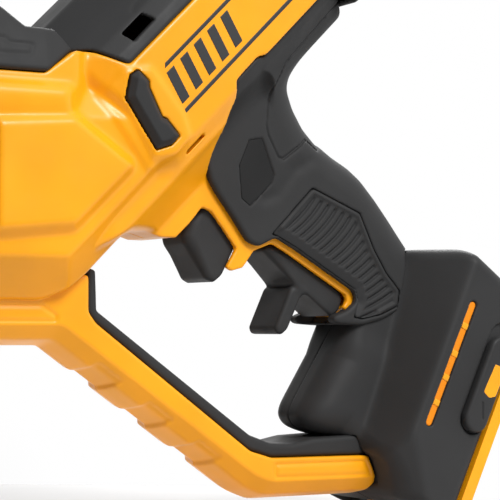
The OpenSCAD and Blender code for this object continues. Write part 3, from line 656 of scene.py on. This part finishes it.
def build_cap():
    """Black end cap with exhaust slots, and the sleeve for the motor's rear bearing."""
    b = Block((56, -37, 60), (138, 37, 143), 0.6)
    solid = meet(b.side - BODY, b.shape_motor(CAP, 1.0), 4.5)
    room = [(BARREL_END - 3, -32), (149.5, -32), (154, -26), (154, 31), (148.7, 37.8),
            (BARREL_END - 3, 37.8)]
    room = meet(b.side - BODY + SHELL, b.shape_motor(room), 2)
    shell = cut(np.maximum(solid, BARREL_END + 0.2 - b.a), room)
    for level in range(-20, 29, 8):
        slot = box_of([(b.a, BARREL_END + 4, 152), (b.c, level - 1.5, level + 1.5)])
        shell = cut(shell, np.maximum(slot, 20 - b.side))
    ring = np.hypot(b.y, b.c)
    sleeve = overlap(ring - 13.5, 11.05 - ring, 125 - b.a, b.a - 155)
    piece = surface(b, np.minimum(shell, sleeve), "end_cap_shell")
    finish_piece(piece, "black_plastic", "tool", "end_cap")


def build_shroud():
    """Black shroud over the gear block, under the hook."""
    b = Block((-68, -36, 36), (7, 36, 64), 0.5)
    width = 34.7 - 0.28 * np.maximum(0, b.z - 40) - 0.2 * np.maximum(0, b.x + 8)
    width = width - groove(0.5, 0.8, np.abs(b.shape(SHROUD_INSET)))
    solid = meet(b.thick(width, 0.6), b.shape(SHROUD, 0.6), 1.6)
    room = np.maximum(b.thick(width - SHELL), b.shape(SHROUD_ROOM))
    piece = surface(b, np.maximum(cut(solid, room), b.a - 35.9), "front_shroud_shell")
    finish_piece(piece, "rubber", "tool", "front_shroud")


def build_boot():
    """Rubber boot over the nose of the gearcase, with finger grooves on its flanks."""
    b = Block((-107, -36, -45), (-28, 36, 41), 0.6)
    width = np.clip(34 + (b.x + 66) * 0.16, 27.5, 34)
    for x in range(-62, -34, 8):
        slot = np.hypot(b.x - x, np.maximum(np.abs(b.z) - 17, 0)) - 1.6
        width = width - 1.2 * fade(slot, 0.25)
    solid = np.maximum(meet(b.thick(width, 0.4), b.shape(BOOT, 1.5), 9), b.x + 30.5)
    nose = [(-121, -18.3), (-104, -18.3), (-70, -24.4), (-36, -33.6), (-28, -33.6), (-28, 36.4),
            (-36, 36.4), (-70, 26.4), (-104, 20.4), (-121, 20.4)]
    room = np.maximum(b.side - 24.3, b.shape(nose))
    solid = cut(solid, room)
    post = box_of([(b.x, -120, -56), (b.y, -9.6, 9.6), (b.z, -26.2, -17)])
    lever = box_of([(b.x, -97, -62), (b.y, -16, 16), (b.z, -50, -16)])
    bar_end = [(-64.3, -36.7), (-28, -37.7), (-28, -50), (-64.3, -50)]
    bar = np.maximum(b.side - BAND - 0.25, b.shape(bar_end))
    lamp = np.maximum(np.hypot(b.y, b.z - 24) - 3.7, b.x + 100)
    for opening in (post, lever, bar, lamp):
        solid = cut(solid, opening)
    for x, z in ((-92, 15.5), (-92, -14.5), (-52, 25.4), (-52, -25.6)):
        solid = cut(solid, np.maximum(np.hypot(b.x - x, b.z - z) - 4, b.side - 29))
    piece = surface(b, solid, "nose_boot_shell")
    finish_piece(piece, "boot_rubber", "tool", "nose_boot")


def build_bumpers():
    """Rubber bumpers on both sides of the barrel's front end."""
    b = Block((19, -BUMPER - 1, 8), (47, -BODY + 2, 45), 0.3)
    solid = bevel(b.side - BUMPER, b.shape_motor(BUMPER_LINE, 0.3), 2.2)
    solid = np.maximum(soften(np.broadcast_to(solid, b.size), 0.25 / b.step), BODY - 1.5 - b.side)
    left = surface(b, solid, "side_bumper_left")
    right = twin(left, "side_bumper_right")
    finish_piece(left, "rubber", "tool", "side_bumpers")
    finish_piece(right, "rubber", "tool")


# ---- grip -----------------------------------------------------------------------------

def build_grip():
    """Rubber grip halves over the yellow core, with a dark inlay on each side."""
    b = Block((62, -38, -56), (172, 1.5, 86), 0.5)
    solid = grip_solid(b)
    core = overlap(b.side - CORE + 0.3, b.shape(CORE_LINE) - 0.2, grip_back(b) + 2.1)
    barrel = overlap(
        b.a - BARREL_END - 3, 50 - b.a, b.side - np.minimum(32.2, wrap_width(b) - 2.1), -31.6 - b.c)
    rim = np.maximum(b.side - CORE - 0.2, b.shape(RIM))
    pad = np.maximum(b.shape(PAD) - 0.25, GRIP - 2 - b.side)
    lever_room = [(100, -52), (128, -54), (140, -42), (108, -12), (92, -12), (83, -31)]
    room = np.maximum(b.side - 12.1, b.shape(lever_room))
    shell = solid
    for other in (core, barrel, rim, pad, foot_solid(b) - 0.3, room):
        shell = cut(shell, other)
    left = surface(b, left_half(shell, b), "grip_cover_left")
    right = twin(left, "grip_cover_right")
    finish_piece(left, "rubber", "tool", "grip_left")
    finish_piece(right, "rubber", "tool", "grip_right")
    b = Block((78, -GRIP - 0.4, -8), (98, -GRIP + 1.6, 24), 0.3)
    inlay = meet(b.side - GRIP + 0.45, b.shape(HEX) + 0.15, 0.3)
    left = surface(b, np.maximum(inlay, GRIP - 1.1 - b.side), "grip_inlay_left")
    right = twin(left, "grip_inlay_right")
    for piece in (left, right):
        finish_piece(piece, "dark_inlay", "tool", slot="rubber")


def build_pads():
    """Ribbed finger pads with a raised rim along their back edge."""
    b = Block((90, -21, -53), (158, -14, 5), 0.3)
    turn = math.radians(-36)
    along = (b.x - 96) * math.cos(turn) + (b.z + 8) * math.sin(turn)
    across = (b.z + 8) * math.cos(turn) - (b.x - 96) * math.sin(turn)
    phase = along - 0.30 * across - 0.004 * along * across + 0.012 * across ** 2
    rib = np.abs((phase / 3.4) % 1 - 0.5) * 3.4
    cuts = fade(rib - 0.62, 0.14)
    back = to_line(b.x, b.z, PAD[-1:] + PAD[:7])
    front = [(131, -46.4), (134.6, -42.4), (133.5, -38.3), (105.4, -21.8), (97.1, -17.6), (89, -21)]
    front = to_line(b.x, b.z, front)
    margin = np.minimum(back - 2.9, front - 5.0)
    field = fade(-margin, 0.25)
    rim = 0.6 * np.exp(-((back - 1.2) / 0.8) ** 2) * np.clip(front / 2 - 1, 0, 1)
    width = GRIP - 0.2 - field * cuts * 1.1 + rim - 0.34 * np.maximum(0, 4.6 - front)
    solid = meet(b.thick(width, 0.15), b.shape(PAD, 0.8), 0.4)
    solid = np.maximum(solid, GRIP - 1.9 - b.side)
    grip = grip_back(b) - 0.4
    left = surface(b, np.maximum(solid, grip), "grip_pad_left")
    right = twin(left, "grip_pad_right")
    finish_piece(left, "rubber", "tool", "grip_pads")
    finish_piece(right, "rubber", "tool")


def build_liner():
    """Rubber strip along the inside of the guard."""
    b = Block((15, -LINER - 1, -106), (143, LINER + 1, -29), 0.5)
    solid = meet(b.side - LINER, b.shape(LINER_LINE, 0.5), 1.8)
    piece = surface(b, cut(solid, foot_solid(b) + 3), "guard_liner_strip")
    finish_piece(piece, "rubber", "tool", "guard_liner")


# ---- battery foot ---------------------------------------------------------------------

def foot_solid(b):
    """The outer form of the black foot: a block for the battery that tapers into its neck."""
    neck = 17.3 - 0.9 * np.clip((b.v - 2) / 8, 0, 1)
    steep = np.clip(2.3 - 0.018 * (b.v + 20), 0.9, 2.4)
    flare = FOOT - np.maximum(0, -38 - b.u) * steep
    low = FOOT - 0.75 * np.maximum(0, -0.796 * (b.u + 36.8) - 0.604 * (b.v + 24.5))
    width = np.maximum(neck, np.minimum(flare, low))
    round_edge = 4.5 + 7.5 * np.clip((12 - b.v) / 16, 0, 1) * np.clip((-43 - b.u) / 11, 0, 1)
    block = meet(b.thick(width, 1.3), b.shape_foot(FOOT_LINE, 1.8), round_edge)
    return np.maximum(block, b.u + 5)


def pill(b, u, low, high, r):
    """Distance to an upright slot with round ends on the foot's side."""
    return np.hypot(b.u - u, np.maximum(np.abs(b.v - (low + high) / 2) - (high - low) / 2 + r, 0)) - r


def build_foot():
    """Black battery foot in two halves, with a recess for the speed slide on the left."""
    b = Block((112, -39, -150), (216, 1.5, -10), 0.5)
    solid = foot_solid(b)
    neck_room = [(-56, -24), (-33, -26), (-33, 42), (-50, 42), (-54, 12)]
    rooms = [
        box_of([(b.u, -9.5, 0), (b.v, -49, 40), (b.side, -1, 26)]),
        box_of([(b.u, -19, -9.2), (b.v, -49, 40), (b.side, -1, 32)]),
        box_of([(b.u, -33.8, -21), (b.v, -32, 42), (b.side, -1, 32)]),
        np.maximum(b.side - 14.5, b.shape_foot(neck_room)),
        np.maximum(b.side - BAND - 0.3, b.shape(BAND_LINE) - 0.2),
        np.maximum(b.side - LINER - 0.2, b.shape(LINER_LINE)),
        np.maximum(b.shape(PAD) - 0.2, GRIP - 2.1 - b.side),
        np.maximum(b.side - CORE + 0.4, b.shape(CORE_LINE)),
        np.maximum(pill(b, -32, -18.2, 36.6, 1.75), FOOT - 2 - b.side),
    ]
    shell = solid
    for room in rooms:
        shell = cut(shell, room)
    shell = left_half(shell, b)
    right = surface(b, shell, "foot_shell_right")
    mirror(right.data)
    recess = np.maximum(pill(b, -13.1, -13, 35, 6.3), FOOT - 1.4 - b.side)
    left = surface(b, cut(shell, recess), "foot_shell_left")
    finish_piece(left, "black_plastic", "tool", "foot_left")
    finish_piece(right, "black_plastic", "tool", "foot_right")


def build_vents():
    """Yellow inserts in the foot's slots, with four paler ribs; the recessed floor between them is a
    darker yellow, which is painted shade.
    """
    b = Block((150, -FOOT - 0.5, -112), (182, -FOOT + 2.4, -38), 0.3)
    slot = pill(b, -32, -18, 36.4, 1.55)
    floor = np.maximum(meet(b.side - FOOT + 0.8, slot, 0.3), FOOT - 1.9 - b.side)
    ribs = least(*[np.abs(b.v - v) - 1.4 for v in (-8, 3, 13.4, 25.6)])
    ribs = overlap(meet(b.side - FOOT + 0.45, ribs, 0.4), slot, FOOT - 0.9 - b.side)
    # the vent floor gets the darker yellow, painted shade for the recess; the ribs keep the plain yellow
    left = surface(b, floor, "foot_vent_left")
    finish_piece(left, "painted_shade_yellow", "tool", "foot_vents", slot="yellow")
    finish_piece(twin(left, "foot_vent_right"), "painted_shade_yellow", "tool", slot="yellow")
    left = surface(b, ribs, "foot_vent_ribs_left")
    finish_piece(left, "yellow", "tool")
    finish_piece(twin(left, "foot_vent_ribs_right"), "yellow", "tool")


def build_selector():
    """Two speed slide with a yellow label and a plain tick."""
    b = Block((166, -FOOT - 4, -107), (200, -FOOT + 2, -52), 0.3)
    body = pill(b, -13.1, -12.2, 29, 5.6)
    raised = meet(b.side - FOOT - 3, body, 1.6)
    solid = np.maximum(raised, FOOT - 1.1 - b.side)
    tick = box_of([(b.u + 0.45 * (b.v + 3), -12.6, -11.6), (b.v, -6, 0.5)])
    tick = np.maximum(tick, FOOT + 2.5 - b.side)
    piece = surface(b, cut(solid, tick), "speed_selector_slide")
    finish_piece(piece, "black_plastic", "selector", "speed_selector")
    mark = b.shape_foot([(-14.2, 17), (-15, 4.3), (-11.4, 3.2), (-8.6, 5), (-8.2, 17)])
    label = overlap(
        meet(b.side - FOOT - 3.12, body, 1.6), soften(mark, 0.4 / b.step), FOOT + 1.5 - b.side)
    piece = surface(b, label, "speed_selector_mark")
    finish_piece(piece, "yellow", "selector")


# ---- trigger and lock lever -----------------------------------------------------------

def build_trigger():
    """Index finger trigger, rounder along its front."""
    b = Block((56, -13, -38), (85, 13, 2), 0.4)
    round_edge = np.clip(4.6 - 0.3 * (b.x - 64), 1.4, 4.6)
    solid = meet(b.side - 11.7, b.shape(TRIGGER, 0.6), round_edge)
    dx, dz = b.x - 78.5, b.z + 10
    t = dx * 0.766 + dz * 0.643
    spring = np.maximum(np.hypot(dx * 0.643 - dz * 0.766, b.y) - 3, -12 - t)
    piece = surface(b, cut(solid, spring), "trigger_button")
    finish_piece(piece, "black_plastic", "trigger", "trigger")


def build_lever():
    """Lock lever below the trigger, with its tab."""
    b = Block((92, -13, -58), (135, 13, -17), 0.4)
    round_edge = np.clip(3.6 - 0.22 * (b.x - 98), 1.3, 3.6)
    blade = meet(b.side - 11.8, b.shape(LEVER, 0.7), round_edge)
    tab = meet(b.side - 11.3, b.shape(LEVER_TAB, 0.6), 1.7)
    solid = join(blade, tab, 3)
    spring = box_of([(b.x, 99.9, 109.8), (b.y, -2.9, 2.9), (b.z, -25.6, 0)])
    hinge = np.maximum(np.hypot(b.x - 126, b.z + 42) - 1.6, b.side - 11)
    piece = surface(b, cut(cut(solid, spring), hinge), "lock_lever_paddle")
    finish_piece(piece, "black_plastic", "lever", "lock_lever")


def rod(name, points, radius, sides=12):
    """A round bar or wire along points in millimetres from the crank's centre."""
    curve = bpy.data.curves.new(name, "CURVE")
    curve.dimensions = "3D"
    curve.bevel_depth, curve.bevel_resolution, curve.use_fill_caps = radius * MM, sides // 4, True
    line = curve.splines.new("POLY")
    line.points.add(len(points) - 1)
    for target, point in zip(line.points, points):
        target.co = (*(CRANK + Vector(point) * MM), 1)
    drawn = bpy.data.objects.new(name, curve)
    mesh = bpy.data.meshes.new_from_object(drawn)
    bpy.data.objects.remove(drawn)
    mesh.shade_smooth()
    piece = bpy.data.objects.new(name, mesh)
    scene.collection.objects.link(piece)
    return piece


def coil(name, foot, axis, length, turns, radius=2.05, wire=0.4):
    """A coil spring from its foot along an axis in the side view."""
    axis = Vector(axis).normalized()
    over = Vector((0, 1, 0))
    third = axis.cross(over)
    points = []
    for i in range(turns * 16 + 1):
        angle = i / 16 * 2 * math.pi
        points.append(Vector(foot) + axis * (length * i / (turns * 16))
                      + (over * math.cos(angle) + third * math.sin(angle)) * radius)
    return rod(name, points, wire)


def build_screws():
    """The screws that hold the housing halves together, with a cross in each head."""
    for number, (x, z, seat) in enumerate(SCREWS):
        b = Block((x - 3.6, -10.6, z - 3.6), (x + 3.6, seat + 3, z + 3.6), 0.2)
        ring = np.hypot(b.x - x, b.z - z)
        shank = box_of([(b.y, -10, seat + 1), (ring, -1, 1.5)])
        head = meet(ring - 2.8, box_of([(b.y, seat, seat + 2.4)]), 0.5)
        cross = overlap(
            np.minimum(np.abs(b.x - x), np.abs(b.z - z)) - 0.4, ring - 1.9, seat + 1.2 - b.y)
        screw = surface(b, cut(np.minimum(shank, head), cross), "housing_screw_%d" % (number + 1))
        finish_piece(screw, "steel", "tool", *(["housing_screws"] if number == 0 else []))


def build_hardware():
    """Hinge pin and return springs."""
    pin = rod("lever_hinge_pin", [(126, -11.4, -42), (126, 11.4, -42)], 1.5)
    finish_piece(pin, "steel", "tool", "lever_pin")
    spring = coil("lever_return_spring", (107, 0, -20.9), (0, 0, 1), 4.3, 4)
    finish_piece(spring, "steel", "tool", "lever_spring")
    spring = coil("trigger_return_spring", (76.5, 0, -11.6), (0.766, 0, 0.643), 15, 8)
    finish_piece(spring, "steel", "tool", "trigger_spring")


# ---- lights and floor -----------------------------------------------------------------

def add_stage():
    """A pale round floor under the tool and soft studio light around it."""
    middle, across = (cad_low + cad_high) / 2, 0.3
    mesh = bpy.data.meshes.new("floor")
    turns = [math.radians(step * 5) for step in range(72)]
    rim = [(middle.x + across * math.cos(turn), middle.y + across * math.sin(turn), cad_low.z - 2 * MM)
           for turn in turns]
    mesh.from_pydata(rim, [], [tuple(range(len(rim)))])
    floor = bpy.data.objects.new("floor", mesh)
    scene.collection.objects.link(floor)
    paint = Shader("floor_paint", (0.7, 0.7, 0.7), 0.7)
    paint.roughen(paint.noise(8, 3), 0.65, 0.75)
    mesh.materials.append(paint.material)
    aim = CRANK + Vector((60, 0, -10)) * MM
    for name, place, power, size in (
            ("key", (0.08, -1.0, 0.85), 16, 0.5), ("rim", (0.55, 0.62, 0.8), 8, 0.5)):
        data = bpy.data.lights.new(name, "AREA")
        data.energy, data.size = power, size
        lamp = bpy.data.objects.new(name, data)
        lamp.location = aim + Vector(place)
        lamp.rotation_mode = "QUATERNION"
        lamp.rotation_quaternion = Vector(place).to_track_quat("Z", "Y")
        scene.collection.objects.link(lamp)
    scene.world = studio_world()
    scene.view_settings.view_transform = "Standard"


def studio_world():
    """A white room behind and to the right of the tool, dim in front, to the left and below."""
    world = bpy.data.worlds.new("studio")
    world.use_nodes = True
    tree = world.node_tree
    place = tree.nodes.new("ShaderNodeTexCoord")
    lean = tree.nodes.new("ShaderNodeVectorMath")
    lean.operation = "DOT_PRODUCT"
    lean.inputs[1].default_value = (1.0, 0.3, 0.5)
    ramp = tree.nodes.new("ShaderNodeValToRGB")
    lift = tree.nodes.new("ShaderNodeMapRange")
    lift.inputs["From Min"].default_value = -1
    lift.inputs["From Max"].default_value = 1
    while len(ramp.color_ramp.elements) < 4:
        ramp.color_ramp.elements.new(0.5)
    greys = ((0.3, 0.12), (0.55, 0.4), (0.75, 0.9), (0.82, 1.0))
    for element, (position, grey) in zip(ramp.color_ramp.elements, greys):
        element.position = position
        element.color = (grey, grey, grey, 1)
    tree.links.new(place.outputs["Generated"], lean.inputs[0])
    tree.links.new(lean.outputs["Value"], lift.inputs["Value"])
    tree.links.new(lift.outputs["Result"], ramp.inputs["Fac"])
    tree.links.new(ramp.outputs["Color"], tree.nodes["Background"].inputs["Color"])
    tree.nodes["Background"].inputs["Strength"].default_value = 1.0
    return world


def soft_edges(node, width):
    """Rounds the sharp edges of a CAD node that stays in view."""
    modifier = frame["nodes"][node].modifiers.new("edges", "BEVEL")
    modifier.width, modifier.segments = width * MM, 2
    modifier.limit_method, modifier.angle_limit = "ANGLE", math.radians(35)


def dress_frame():
    """Gives every CAD node that stays visible its slot's material."""
    for part in frame["record"]["subparts"]:
        piece = frame["nodes"][part["node"]]
        piece.data.materials.clear()
        piece.data.materials.append(MATERIALS[part["material_slot"]])
    for node, width in (("foot_trim", 0.6), ("rafter_hook", 0.5), ("hook_bracket", 1.0),
                        ("shoe_plate", 0.4), ("shoe_post", 0.4), ("shoe_lever", 0.8),
                        ("clamp_collar", 0.5), ("nose_seal", 0.5)):
        soft_edges(node, width)


build_housing()
build_stripes()
build_cover()
build_cap()
build_shroud()
build_boot()
build_bumpers()
build_grip()
build_pads()
build_liner()
build_foot()
build_vents()
build_selector()
build_trigger()
build_lever()
build_screws()
build_hardware()
dress_frame()
add_stage()
